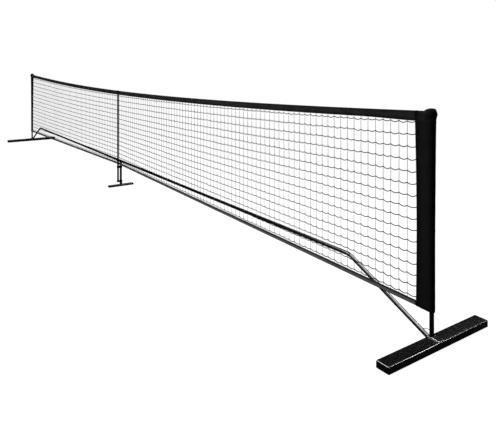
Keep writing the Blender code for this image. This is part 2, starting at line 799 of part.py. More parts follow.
def make_tee_arms(name):
    """Level tube that joins the two halves of the bar, with a spigot at each end."""
    arm_end = TEE_HALF_LENGTH + SPIGOT_LENGTH
    neck = TEE_HALF_LENGTH - NECK_LENGTH
    outer = [(SPIGOT_RADIUS, arm_end), (SPIGOT_RADIUS, TEE_HALF_LENGTH), (TUBE_RADIUS, neck)]
    inner = [(SPIGOT_BORE, arm_end), (SPIGOT_BORE, TEE_HALF_LENGTH), (BORE_RADIUS, neck)]
    lower = [(radius, -height) for radius, height in reversed(outer)]
    lower += [(radius, -height) for radius, height in inner]
    level = axes((0, 0, BAR_HEIGHT), (1, 0, 0), UP)
    tee = turned(name, outer + lower + inner[::-1], GLOSS_BLACK, level)
    for sign in (1, -1):
        x = sign * (TEE_HALF_LENGTH + BUTTON_FROM_MOUTH)
        button_hole(tee, (x, 0, BAR_HEIGHT), UP)
    return tee


def make_riser(name):
    """Upright tube of the tee. It stands in the socket and is coped to the arms."""
    riser = pipe(name, TUBE_RADIUS, BORE_RADIUS, TEE_BOTTOM, BAR_HEIGHT, GLOSS_BLACK)
    level = axes((0, 0, BAR_HEIGHT), (1, 0, 0), UP)
    hole(riser, level, TUBE_RADIUS + GAP, -TUBE_DIAMETER, TUBE_DIAMETER, TURN_STEPS)
    return button_hole(riser, (0, 0, SOCKET_TOP - SOCKET_BUTTON_DEPTH), (0, 1, 0))


def make_socket(name):
    inner = TUBE_RADIUS + GAP
    socket = pipe(name, SOCKET_RADIUS, inner, TEE_BOTTOM, SOCKET_TOP, GLOSS_BLACK)
    return button_hole(socket, (0, 0, SOCKET_TOP - SOCKET_BUTTON_DEPTH), (0, 1, 0))


def make_rod_cup(name):
    """Cup on the socket's front that the centre rod stands in."""
    outlines = [holder_outline(SOCKET_RADIUS + GAP + HOLDER_WALL), circle(SOCKET_RADIUS + GAP)]
    place = Matrix.Translation((0, 0, CUP_BOTTOM + CUP_HEIGHT / 2))
    cup = extruded(name, outlines, CUP_HEIGHT, BLACK_PLASTIC, place)
    bore = Matrix.Translation((0, ROD_Y, CUP_BOTTOM + CUP_FLOOR))
    return hole(cup, bore, ROD_RADIUS + GAP, 0, 2 * CUP_HEIGHT, TURN_STEPS)


def make_rod_clip(name):
    body = TUBE_RADIUS + GAP
    holes = [circle(body), circle(ROD_RADIUS + GAP, (0, ROD_Y))]
    place = Matrix.Translation((0, 0, CLIP_TOP - CLIP_HEIGHT / 2))
    return extruded(
        name, [holder_outline(body + HOLDER_WALL), *holes], CLIP_HEIGHT, BLACK_PLASTIC, place
    )


def make_rod_tip(name, top):
    """Rounded plastic plug in the rod's upper end."""
    seat = top - ROD_TIP_HEIGHT + GAP
    profile = [(0, top)]
    for t in (30, 60, 90):
        turn = math.radians(t)
        profile.append((ROD_RADIUS * math.sin(turn), top - ROD_RADIUS * (1 - math.cos(turn))))
    plug = ROD_RADIUS - ROD_WALL - GAP
    profile += [(ROD_RADIUS, seat), (plug, seat), (plug, seat - ROD_TIP_PLUG)]
    profile.append((0, seat - ROD_TIP_PLUG))
    place = Matrix.Translation((0, ROD_Y, 0))
    return turned(name, profile, BLACK_PLASTIC, place, closed=False)


def make_loop(name):
    """Webbing loop on the band that the rod passes up through."""
    reach = ROD_RADIUS + LOOP_SLACK + FABRIC
    face = NET_Y - BAND_HALF - GAP
    arc = []
    for i in range(HOLDER_STEPS + 1):
        t = math.pi + math.pi * i / HOLDER_STEPS
        arc.append((reach * math.cos(t), ROD_Y + reach * math.sin(t)))
    flap = reach + LOOP_FLAP
    path = [(-flap, face - FABRIC), (-reach, face - FABRIC), *arc]
    path += [(reach, face - FABRIC), (flap, face - FABRIC)]
    high = top_edge(0) - LOOP_BELOW_TOP
    return strip(name, path, high - LOOP_HEIGHT, high, FABRIC, BLACK_FABRIC)


# Assembly


def build_end():
    """Every piece of the right-hand end, and its mirrored twin at the left."""
    made = [
        make_foot("foot_right", FOOT_X, FOOT_LENGTH - 2 * CAP_FLANGE, FOOT_WIDTH, FOOT_HEIGHT),
        *make_foot_caps(
            "foot", "_right", FOOT_X, FOOT_LENGTH, FOOT_WIDTH, FOOT_HEIGHT, CAP_FLANGE, CAP_PLUG,
            CAP_ROUNDING,
        ),
        make_post_bracket("post_bracket_right"),
        make_bolt("foot_bolt_right"),
        make_nut("foot_nut_right"),
        make_stub("brace_stub_right"),
        make_stay("wire_stay_right"),
        make_post("post_right"),
        make_post_cap("post_cap_right"),
        make_elbow("elbow_right"),
        make_sleeve("sleeve_right"),
        make_hood("corner_hood_right"),
    ]
    bolt_place = Matrix.Translation((POST_X + BOLT_FROM_POST, 0, 0))
    hole(made[0], bolt_place, BOLT_DIAMETER / 2 + GAP, FOOT_HEIGHT / 2, 2 * FOOT_HEIGHT)
    shoulder = ELBOW_MOUTH_X
    for i in range(TUBES_PER_HALF):
        made.append(make_bar_tube(f"bar_tube_{i + 1}_right", shoulder))
        shoulder -= BAR_TUBE_LENGTH
    for piece in made:
        mirrored(piece)


def build_centre():
    make_foot(
        "centre_foot", 0, CENTRE_FOOT_LENGTH - 2 * CENTRE_CAP_FLANGE, CENTRE_FOOT_WIDTH,
        CENTRE_FOOT_HEIGHT,
    )
    list(
        make_foot_caps(
            "centre_foot", "", 0, CENTRE_FOOT_LENGTH, CENTRE_FOOT_WIDTH, CENTRE_FOOT_HEIGHT,
            CENTRE_CAP_FLANGE, CENTRE_CAP_PLUG, CENTRE_CAP_ROUNDING,
        )
    )
    make_socket("centre_socket")
    make_tee_arms("tee_arms")
    make_riser("tee_riser")
    rod_top = top_edge(0) + ROD_ABOVE_BAND
    rod_place = Matrix.Translation((0, ROD_Y, 0))
    pipe(
        "centre_rod", ROD_RADIUS, ROD_RADIUS - ROD_WALL, ROD_BOTTOM, rod_top - ROD_TIP_HEIGHT,
        GLOSS_BLACK, rod_place,
    )
    make_rod_tip("rod_tip", rod_top)
    make_rod_cup("rod_cup")
    make_rod_clip("rod_clip")
    make_loop("centre_loop")


def build_buttons():
    """A snap button at each joint of two tubes."""
    mesh = snap_button(TUBE_RADIUS, SPIGOT_BORE)
    for label, sign in (("right", 1), ("left", -1)):
        flip = Matrix() if sign > 0 else MIRROR
        post = Vector((sign * POST_X, 0, PLATE_TOP + POST_BUTTON_HEIGHT))
        add_button(f"button_post_{label}", mesh, post, (0, 1, 0), (0, 0, -1))
        stub = flip @ (STUB_MOUTH - SLOPE * BUTTON_FROM_MOUTH)
        slope, out = flip.to_3x3() @ SLOPE, flip.to_3x3() @ SLOPE_UP
        add_button(f"button_stub_{label}", mesh, stub, out, slope)
        for i in range(TUBES_PER_HALF + 1):
            x = sign * (ELBOW_MOUTH_X - i * BAR_TUBE_LENGTH + BUTTON_FROM_MOUTH)
            name = f"button_bar_{i + 1}_{label}"
            add_button(name, mesh, (x, 0, BAR_HEIGHT), (0, 0, 1), (-sign, 0, 0))
    centre = snap_button(SOCKET_RADIUS, BORE_RADIUS)
    height = SOCKET_TOP - SOCKET_BUTTON_DEPTH
    add_button("button_centre", centre, (0, 0, height), (0, 1, 0), (0, 0, 1))


def build_net():
    make_net("net_mesh")
    make_tape("top_band", top_edge, BAND_HEIGHT, BAND_HALF, fold_up=True)
    make_tape("bottom_hem", hem_edge, HEM_HEIGHT, HEM_HALF, fold_up=False)
    make_cord("top_cord", top_edge, BAND_CORD_DIAMETER, fold_up=True, past_ends=SEAM_DEPTH)
    make_cord("hem_cord", hem_edge, HEM_CORD_DIAMETER, fold_up=False, past_ends=0)


clear_scene()
PARTS = new_collection("pickleball_portable_net")
CUTTERS = new_collection("cutters")
build_end()
build_centre()
build_buttons()
build_net()
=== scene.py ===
"""Looks of a portable court net on a black steel tube frame. Lengths are in metres.

X runs along the net, Y across it and Z up; the net hangs on the -Y side of the frame.
"""

import json
import math
import random

import bmesh
import bpy
from mathutils import Matrix, Vector, noise

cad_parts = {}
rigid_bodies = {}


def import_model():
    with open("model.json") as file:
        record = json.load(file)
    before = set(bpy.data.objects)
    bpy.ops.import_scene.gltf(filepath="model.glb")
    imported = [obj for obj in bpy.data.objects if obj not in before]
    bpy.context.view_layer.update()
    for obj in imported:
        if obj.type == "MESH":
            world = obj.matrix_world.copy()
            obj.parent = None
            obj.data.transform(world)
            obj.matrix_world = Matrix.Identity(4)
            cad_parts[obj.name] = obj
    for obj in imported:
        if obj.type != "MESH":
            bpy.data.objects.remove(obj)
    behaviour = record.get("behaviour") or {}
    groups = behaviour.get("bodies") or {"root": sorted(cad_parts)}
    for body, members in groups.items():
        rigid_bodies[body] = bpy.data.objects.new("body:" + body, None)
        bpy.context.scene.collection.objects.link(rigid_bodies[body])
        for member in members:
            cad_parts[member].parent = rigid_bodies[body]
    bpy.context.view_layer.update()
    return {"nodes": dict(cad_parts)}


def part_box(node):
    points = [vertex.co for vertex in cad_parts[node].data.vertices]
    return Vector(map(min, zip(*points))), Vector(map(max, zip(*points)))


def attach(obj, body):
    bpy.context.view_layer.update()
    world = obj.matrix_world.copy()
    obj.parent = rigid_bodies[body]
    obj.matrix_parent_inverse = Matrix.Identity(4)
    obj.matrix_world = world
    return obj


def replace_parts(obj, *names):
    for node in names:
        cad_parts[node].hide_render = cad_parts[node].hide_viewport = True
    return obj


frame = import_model()


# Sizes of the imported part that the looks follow


def middle(node):
    low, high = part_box(node)
    return (low + high) / 2


BAND_LOW, BAND_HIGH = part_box("top_band")
HEM_LOW, HEM_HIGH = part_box("bottom_hem")
POST_X = middle("post_right").x
TUBE_RADIUS = POST_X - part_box("post_right")[0].x
NET_Y = middle("net_mesh").y
NET_END = BAND_HIGH.x  # the band, the hem and the net end at the sleeves
BAND_HEIGHT = 0.036
HEM_HEIGHT = 0.018
BAND_HALF = (BAND_HIGH.y - BAND_LOW.y) / 2
HEM_HALF = (HEM_HIGH.y - HEM_LOW.y) / 2
SEAM_HALF = 0.0027  # of the cloth where it is sewn to the net
FABRIC = 0.0011
TOP_AT_CENTRE = BAND_LOW.z + BAND_HEIGHT
TOP_AT_END = BAND_HIGH.z
HEM_AT_CENTRE = HEM_HIGH.z - HEM_HEIGHT
HEM_AT_END = HEM_LOW.z
HOOD_BOTTOM, HOOD_TOP = (corner.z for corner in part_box("corner_hood_right"))
SLEEVE_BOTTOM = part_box("sleeve_right")[0].z

NET_COLUMNS = 150
NET_ROWS = 16
FIRST_ROW = 0.009  # below the band, at the posts
ROW_PITCH = 0.0522  # at the posts, below the first row
ROW_CLOSING = 0.0003  # the rows lie closer together towards the hem
DROOP = 0.0062  # of a thread between two columns
ROW_TWINE = 0.0041
COLUMN_TWINE = 0.0020
TWINE_SIDES = 5
KNOT_RADIUS = ROW_TWINE * 0.60
TWINE_SLIP = 0.0009  # how far a knot or a thread lies from its place
COLUMN_SLIP = 0.0012  # the same of a whole column
BAND_STATION = 0.011  # between points of the cloth along the net
HEM_STATION = 0.012
SEAM_STATION = 0.02
BAND_SEAM_RISE = 0.0045  # above the edge of the cloth
HEM_SEAM_RISE = -0.004
STITCH_PITCH = 0.0052
STITCH_LENGTH = STITCH_PITCH * 0.62
STITCH_RADIUS = 0.00045
STITCH_STAND = 0.0007  # a seam's axis to the middle of its cloth
POST_STITCH_STAND = 0.0009  # the same on the cloth round the posts
SLEEVE_WIDTH = 0.0655  # post axis to the sleeve's edge, at its bottom
SLEEVE_LAP = 0.006  # how far the sleeve goes up under the hood
SLEEVE_ROWS = 46
SLEEVE_POINTS = 34
SLEEVE_SEAM = 0.007  # from the sleeve's edge
HOOD_WIDTH = 0.069
HOOD_LEVELS = (0, 0.06, 0.14, 0.24, 0.36, 0.48, 0.60, 0.70, 0.78, 0.85, 0.91, 0.955, 0.985, 1)
HOOD_POINTS = 60
HOOD_SHOULDER = 0.78  # level where the hood starts to close over the post
BEND_POINTS = 15  # of the cloth's plan round the post
LOOP_POINTS = 13
LOOP_ROWS = 7
LOOP_INSET = 0.0004  # at its top and its bottom
PLATE_THICKNESS = 0.003
PLATE_CORNER = 0.004
PLATE_EDGE = 0.0009
SPIGOT_ROOT = TUBE_RADIUS - 0.0016
SPIGOT_TIP = TUBE_RADIUS - 0.0020
SHARP_EDGE = math.radians(50)  # steeper edges keep their crease
FLOOR_HALF = 30
FLOOR_DROP = 0.0005  # keeps the floor clear of the feet
SQUARE = ((-1, -1), (1, -1), (1, 1), (-1, 1))
WHITE = (1, 1, 1, 1)
DUST = (0.55, 0.54, 0.52, 1)
FLOOR_GLOW = 0.93  # what the camera sees of the floor on top of its own shading
REFLECTED_BOXES = (  # direction, long side, half sizes along and across, strength
    ((-0.04, 0.0, 1.0), (0, 1, 0), (0.50, 0.24), 12.0),
    ((-0.573, -0.34, 0.74), (0, 1, 0), (0.30, 0.14), 22.0),
    ((0.30, 0.697, 0.65), (1, 0, 0), (0.24, 0.025), 45.0),
    ((0.451, 0.697, 0.554), (-0.44, 0.72, -0.54), (0.018, 0.09), 60.0),
)

PHOTO_SIZE = (496, 426)
FOCAL = 546.903  # in the photo's pixels, as the next two
VANISHING_CENTRE = 261.062
HORIZON = 59.633
SENSOR_WIDTH = 36
CAMERA_SPOT = (4.7381, -1.8190, 1.1338)
CAMERA_TURN = 54.6174  # degrees from +Y towards -X


def top_edge(x):
    return TOP_AT_CENTRE + (TOP_AT_END - TOP_AT_CENTRE) * (x / NET_END) ** 2


def hem_edge(x):
    return HEM_AT_CENTRE + (HEM_AT_END - HEM_AT_CENTRE) * abs(x) / NET_END


def ripple(*at):
    """Smooth noise from -1 to 1 that is the same in every run."""
    return noise.noise(Vector(at))


def smoothstep(t):
    t = min(1, max(0, t))
    return t * t * (3 - 2 * t)


# Materials


def feed(tree, node, values):
    """Values go to the node's inputs, as sockets to link from or as plain values."""
    for key, value in values.items():
        if isinstance(value, bpy.types.NodeSocket):
            tree.links.new(value, node.inputs[key])
        else:
            node.inputs[key].default_value = value


def add(tree, kind, values=None, **settings):
    """A new node with its settings, and with what is fed to its inputs."""
    made = tree.nodes.new("ShaderNode" + kind)
    for key, value in settings.items():
        setattr(made, key, value)
    feed(tree, made, values or {})
    return made


def new_material(name):
    """An empty material with its Principled node, which the caller feeds."""
    made = bpy.data.materials.new(name)
    made.use_nodes = True
    tree = made.node_tree
    tree.nodes.clear()
    body = add(tree, "BsdfPrincipled")
    output = add(tree, "OutputMaterial", {"Surface": body.outputs["BSDF"]})
    output.is_active_output = True
    return made, tree, body


def math_node(tree, operation, *values, clamp=False):
    values = dict(enumerate(values))
    return add(tree, "Math", values, operation=operation, use_clamp=clamp).outputs[0]


def dot(tree, one, other):
    values = {0: one, 1: other}
    return add(tree, "VectorMath", values, operation="DOT_PRODUCT").outputs["Value"]


def ramp(tree, factor, low, high, start=0.0, end=1.0):
    """A value or colour that runs from low to high while factor runs from start to end."""
    made = add(tree, "ValToRGB", {"Fac": factor})
    for element, place, value in zip(made.color_ramp.elements, (start, end), (low, high)):
        element.position = place
        element.color = value if isinstance(value, tuple) else (value, value, value, 1)
    return made.outputs["Color"]


def object_coordinates(tree, scale=(1, 1, 1), turn=(0, 0, 0)):
    place = add(tree, "TexCoord").outputs["Object"]
    values = {"Vector": place, "Scale": scale, "Rotation": turn}
    return add(tree, "Mapping", values).outputs["Vector"]


def cloudy(tree, vector, scale, detail=4.0, roughness=0.55):
    values = {"Vector": vector, "Scale": scale, "Detail": detail, "Roughness": roughness}
    return add(tree, "TexNoise", values).outputs["Fac"]


def bump(tree, height, strength, distance):
    values = {"Height": height, "Strength": strength, "Distance": distance}
    return add(tree, "Bump", values).outputs["Normal"]


def scaled(colour, share):
    """The colour made darker or lighter, and opaque."""
    return tuple(c * share for c in colour[:3]) + (1,)


def enamel(name, colour, roughness, dust):
    """Sprayed black enamel: orange peel, faint rubbed streaks and a film of dust on top."""
    made, tree, body = new_material(name)
    plain = object_coordinates(tree)
    peel = cloudy(tree, plain, 420, 2)
    cloud = cloudy(tree, plain, 9, 5, 0.65)
    streaks = cloudy(tree, object_coordinates(tree, (14, 1.5, 160), (0, 0, 0.35)), 6, 6, 0.7)
    scuffs = ramp(tree, streaks, 0.0, 1.0, 0.60, 0.72)
    up = add(tree, "SeparateXYZ", {"Vector": add(tree, "NewGeometry").outputs["Normal"]})
    settled = math_node(tree, "MULTIPLY", up.outputs["Z"], cloud, clamp=True)
    dirt = math_node(tree, "MULTIPLY", settled, dust)
    values = {"Fac": dirt, "Color1": colour, "Color2": DUST}
    dusty = add(tree, "MixRGB", values).outputs["Color"]
    rubbed = math_node(tree, "MULTIPLY", scuffs, 0.10)
    uneven = math_node(tree, "MULTIPLY_ADD", cloud, 0.12, roughness - 0.06)
    values = {"Base Color": dusty, "Roughness": math_node(tree, "ADD", uneven, rubbed)}
    values.update({"Normal": bump(tree, peel, 0.07, 0.0004)})
    values.update({"Coat Weight": 0.5, "Coat Roughness": 0.05})
    feed(tree, body, values)
    return made


def bare_metal(name, colour, roughness):
    """Zinc plate: brushed along X and a little cloudy."""
    made, tree, body = new_material(name)
    brushed = cloudy(tree, object_coordinates(tree, (40, 900, 900)), 3, 3)
    cloud = cloudy(tree, object_coordinates(tree), 60, 4)
    shade = ramp(tree, cloud, scaled(colour, 0.7), colour, 0.3, 0.7)
    rough = math_node(tree, "MULTIPLY_ADD", brushed, 0.25, roughness - 0.12)
    values = {"Base Color": shade, "Roughness": rough, "Metallic": 1.0}
    feed(tree, body, {**values, "Normal": bump(tree, brushed, 0.15, 0.0003)})
    return made


def moulded(name, colour, roughness, specular=0.5):
    """Moulded plastic with a fine grain."""
    made, tree, body = new_material(name)
    grain = cloudy(tree, object_coordinates(tree), 1500, 2)
    cloud = cloudy(tree, object_coordinates(tree), 35, 5)
    shade = ramp(tree, cloud, colour, scaled(colour, 1.7), 0.35, 0.7)
    rough = math_node(tree, "MULTIPLY_ADD", cloud, 0.2, roughness - 0.1)
    values = {"Base Color": shade, "Roughness": rough, "Specular IOR Level": specular}
    feed(tree, body, {**values, "Normal": bump(tree, grain, 0.25, 0.0003)})
    return made


def woven(name, colour, pitch, span, painted_shade_power=1.0):
    """Plain weave over the UV, which is in metres: warp and weft threads in turns.

    The colour has painted shade along the cloth's edges and its fold and a painted highlight
    between them: span is its width across, and the higher the last argument, the more of it stays
    dark.
    """
    made, tree, body = new_material(name)
    uv = add(tree, "SeparateXYZ", {"Vector": add(tree, "TexCoord").outputs["UV"]})
    turn = math.pi / pitch
    across = math_node(tree, "SINE", math_node(tree, "MULTIPLY", uv.outputs["X"], turn))
    along = math_node(tree, "SINE", math_node(tree, "MULTIPLY", uv.outputs["Y"], turn))
    cross = math_node(tree, "MULTIPLY", across, along)
    thread = math_node(tree, "MULTIPLY_ADD", cross, 0.5, 0.5)
    plain = object_coordinates(tree)
    fuzz = cloudy(tree, plain, 260, 6, 0.7)
    cloud = cloudy(tree, plain, 11, 4)
    mixed = math_node(tree, "MULTIPLY", thread, fuzz)
    shade = math_node(tree, "MULTIPLY_ADD", cloud, 0.5, mixed)
    # Painted shade along the cloth's edges and fold and a painted highlight between them, scaling
    # the base colour
    across_cloth = math_node(tree, "MULTIPLY", uv.outputs["X"], 2 * math.pi / span)
    between = math_node(tree, "ABSOLUTE", math_node(tree, "SINE", across_cloth))
    painted_shade_and_highlight = math_node(tree, "MULTIPLY_ADD", math_node(tree, "POWER", between, painted_shade_power), 0.92, 0.08)
    colours = ramp(tree, shade, scaled(colour, 0.55), scaled(colour, 1.9), 0.25, 0.95)
    values = {0: colours, "Scale": painted_shade_and_highlight}
    values = {"Base Color": add(tree, "VectorMath", values, operation="SCALE").outputs[0]}
    values.update({"Roughness": 0.72, "Specular IOR Level": 0.03})
    feed(tree, body, {**values, "Normal": bump(tree, thread, 0.25, 0.0004)})
    return made


def twisted(name, dark, light, pitch):
    """Twisted twine in greys: slanting strands that run round whichever way it goes."""
    made, tree, body = new_material(name)
    place = add(tree, "SeparateXYZ", {"Vector": add(tree, "TexCoord").outputs["Object"]})
    slant = math_node(tree, "ADD", place.outputs["X"], place.outputs["Z"])
    slant = math_node(tree, "ADD", slant, place.outputs["Y"])
    strand = math_node(tree, "SINE", math_node(tree, "MULTIPLY", slant, 2 * math.pi / pitch))
    strand = math_node(tree, "MULTIPLY_ADD", strand, 0.5, 0.5)
    fuzz = cloudy(tree, object_coordinates(tree), 700, 3, 0.7)
    shade = math_node(tree, "MULTIPLY", strand, fuzz)
    values = {"Base Color": ramp(tree, shade, dark, light, 0.05, 0.6)}
    values.update({"Roughness": 0.8, "Specular IOR Level": 0.03})
    feed(tree, body, {**values, "Normal": bump(tree, strand, 0.6, 0.0003)})
    return made


FOOT_ENAMEL = enamel("foot_enamel", (0.003, 0.003, 0.0033, 1), 0.24, 0.02)
TUBE_ENAMEL = enamel("tube_enamel", (0.003, 0.003, 0.0033, 1), 0.16, 0.01)
PLATE_ENAMEL = enamel("plate_enamel", (0.010, 0.010, 0.010, 1), 0.36, 0.03)
ZINC = bare_metal("zinc_plate", (0.40, 0.41, 0.42, 1), 0.38)
CAP_PLASTIC = moulded("cap_plastic", (0.005, 0.005, 0.0055, 1), 0.18)
HEAD_PLASTIC = moulded("bolt_head_plastic", (0.004, 0.004, 0.0043, 1), 0.55, 0.08)
BAND_CLOTH = woven("band_cloth", (0.072, 0.072, 0.074, 1), 0.0008, 0.078)
SLEEVE_CLOTH = woven("sleeve_cloth", (0.034, 0.034, 0.035, 1), 0.0009, 0.160)
HOOD_CLOTH = woven("hood_cloth", (0.040, 0.040, 0.041, 1), 0.0008, 0.190)
# The hem's light grey shows only as a painted highlight along its middle; painted shade keeps its
# edges dark
HEM_CLOTH = woven("hem_cloth", (0.400, 0.400, 0.405, 1), 0.0008, 0.042, 2.2)
ROW_CORD = twisted("row_twine", 0.008, (0.035, 0.035, 0.036, 1), 0.0036)
COLUMN_CORD = twisted("column_twine", 0.02, 0.08, 0.0016)
STITCH_THREAD = twisted("stitch_thread", 0.02, 0.09, 0.0008)
GREY_THREAD = twisted("grey_thread", 0.10, 0.32, 0.0008)
BRAIDED_CORD = twisted("braided_cord", 0.05, 0.2, 0.003)


# Building helpers


def new_object(name, data):
    made = bpy.data.objects.new(name, data)
    bpy.context.scene.collection.objects.link(made)
    return made


def frame_piece(mesh):
    """A piece of the frame's body, with its mesh's name."""
    made = new_object(mesh.name, mesh)
    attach(made, "frame")
    return made


def plain_mesh(carrier):
    """What the object's modifiers make of its mesh, under the mesh's name, in its place."""
    depsgraph = bpy.context.evaluated_depsgraph_get()
    made = bpy.data.meshes.new_from_object(carrier.evaluated_get(depsgraph))
    mesh, name = carrier.data, carrier.data.name
    bpy.data.objects.remove(carrier)
    bpy.data.meshes.remove(mesh)
    made.name = name
    return made


def to_mesh(name, work):
    mesh = bpy.data.meshes.new(name)
    work.to_mesh(mesh)
    work.free()
    return mesh


def run_of(points):
    """How far each point is from the first one along the line."""
    made = [0.0]
    for before, point in zip(points, points[1:]):
        made.append(made[-1] + (point - before).length)
    return made


def cloth(name, grid, material):
    """A sheet of cloth over a grid of points, solid, with its UV in metres."""
    rows, columns = len(grid), len(grid[0])
    work = bmesh.new()
    layer = work.loops.layers.uv.new("UVMap")
    points = [[work.verts.new(p) for p in row] for row in grid]
    along = run_of([row[columns // 2] for row in grid])
    across = run_of(grid[rows // 2])
    for i in range(rows - 1):
        for j in range(columns - 1):
            ring = ((i, j), (i, j + 1), (i + 1, j + 1), (i + 1, j))
            face = work.faces.new([points[a][b] for a, b in ring])
            face.smooth = True
            for loop, (a, b) in zip(face.loops, ring):
                loop[layer].uv = (across[b], along[a])
    bmesh.ops.remove_doubles(work, verts=work.verts, dist=1e-5)
    bmesh.ops.recalc_face_normals(work, faces=work.faces)
    carrier = new_object(name, to_mesh(name, work))
    solid = carrier.modifiers.new("cloth", "SOLIDIFY")
    solid.thickness = FABRIC
    solid.offset = 0
    made = plain_mesh(carrier)
    made.materials.append(material)
    return made


def both_ends(right):
    """The right end's mesh and its mirror image, each with its side and the sign of X."""
    left = right.copy()
    left.name = right.name.replace("_right", "_left")
    left.transform(Matrix.Scale(-1, 4, Vector((1, 0, 0))))
    left.flip_normals()
    return ("right", 1, right), ("left", -1, left)


def polylines(name, lines):
    """A mesh of loose edges: each line is a list of points, and a fourth item flags a knot."""
    verts, edges, knots = [], [], []
    for line in lines:
        start = len(verts)
        for point in line:
            verts.append(point[:3])
            knots.append(len(point) > 3)
        edges += [(k, k + 1) for k in range(start, len(verts) - 1)]
    mesh = bpy.data.meshes.new(name)
    mesh.from_pydata(verts, edges, [])
    mesh.attributes.new("knot", "BOOLEAN", "POINT").data.foreach_set("value", knots)
    return mesh


class Group:
    """A Geometry Nodes group with named inputs."""

    def __init__(self, name, inputs):
        self.tree = bpy.data.node_groups.new(name, "GeometryNodeTree")
        face = self.tree.interface
        face.new_socket("Geometry", in_out="INPUT", socket_type="NodeSocketGeometry")
        face.new_socket("Geometry", in_out="OUTPUT", socket_type="NodeSocketGeometry")
        self.ids = {}
        for label, kind in inputs.items():
            made = face.new_socket(label, in_out="INPUT", socket_type="NodeSocket" + kind)
            self.ids[label] = made.identifier
        self.start = self.tree.nodes.new("NodeGroupInput").outputs
        self.end = self.tree.nodes.new("NodeGroupOutput").inputs

    def add(self, kind, values=None, prefix="GeometryNode", **settings):
        made = self.tree.nodes.new(prefix + kind)
        for key, value in settings.items():
            setattr(made, key, value)
        for key, value in (values or {}).items():
            several = value if isinstance(value, list) else [value]
            for one in several:
                if isinstance(one, bpy.types.NodeSocket):
                    self.tree.links.new(one, made.inputs[key])
                else:
                    made.inputs[key].default_value = one
        return made.outputs

    def finish(self, parts, material):
        joined = self.add("JoinGeometry", {"Geometry": parts})[0]
        whole = self.add("RealizeInstances", {"Geometry": joined})[0]
        smooth = self.add("SetShadeSmooth", {"Geometry": whole})[0]
        made = self.add("SetMaterial", {"Geometry": smooth, "Material": material})[0]
        self.tree.links.new(made, self.end["Geometry"])

    def run(self, mesh, values):
        """The plain mesh that this group makes from a mesh."""
        carrier = new_object(mesh.name, mesh)
        modifier = carrier.modifiers.new("nodes", "NODES")
        modifier.node_group = self.tree
        for label, value in values.items():
            modifier[self.ids[label]] = value
        return plain_mesh(carrier)


def threads_group():
    """Twine along every line, with a knot at each flagged point."""
    inputs = {"Radius": "Float", "Sides": "Int", "Knot": "Float", "Material": "Material"}
    group = Group("threads_along_lines", inputs)
    start = group.start
    curve = group.add("MeshToCurve", {"Mesh": start["Geometry"]})[0]
    ring = {"Resolution": start["Sides"], "Radius": start["Radius"]}
    profile = group.add("CurvePrimitiveCircle", ring)["Curve"]
    values = {"Curve": curve, "Profile Curve": profile, "Fill Caps": True}
    twine = group.add("CurveToMesh", values)
    knot = group.add("MeshIcoSphere", {"Radius": start["Knot"], "Subdivisions": 1})["Mesh"]
    values = {"Name": "knot"}
    flagged = group.add("InputNamedAttribute", values, data_type="BOOLEAN")["Attribute"]
    values = {"Points": start["Geometry"], "Selection": flagged, "Instance": knot}
    values["Scale"] = (1.25, 0.85, 1.0)
    knots = group.add("InstanceOnPoints", values)[0]
    group.finish([twine[0], knots], start["Material"])
    return group


def stitches_group():
    """Short stitches one behind the other along every line."""
    inputs = {"Pitch": "Float", "Length": "Float", "Radius": "Float", "Material": "Material"}
    group = Group("stitches_along_lines", inputs)
    start = group.start
    curve = group.add("MeshToCurve", {"Mesh": start["Geometry"]})[0]
    values = {"Curve": curve, "Length": start["Pitch"]}
    curve = group.add("ResampleCurve", values, mode="LENGTH")[0]
    tangent = group.add("InputTangent")[0]
    values = {"Vector": tangent}
    turn = group.add("AlignRotationToVector", values, prefix="FunctionNode", axis="Z")[0]
    shape = {"Vertices": 5, "Radius": start["Radius"], "Depth": start["Length"]}
    stitch = group.add("MeshCylinder", shape)["Mesh"]
    values = {"Points": curve, "Instance": stitch, "Rotation": turn}
    stitches = group.add("InstanceOnPoints", values)[0]
    group.finish([stitches], start["Material"])
    return group


THREADS = threads_group()
STITCHES = stitches_group()


def stitched(name, lines, thread=STITCH_THREAD):
    values = {"Pitch": STITCH_PITCH, "Length": STITCH_LENGTH, "Radius": STITCH_RADIUS}
    values["Material"] = thread
    return frame_piece(STITCHES.run(polylines(name, lines), values))


# The net


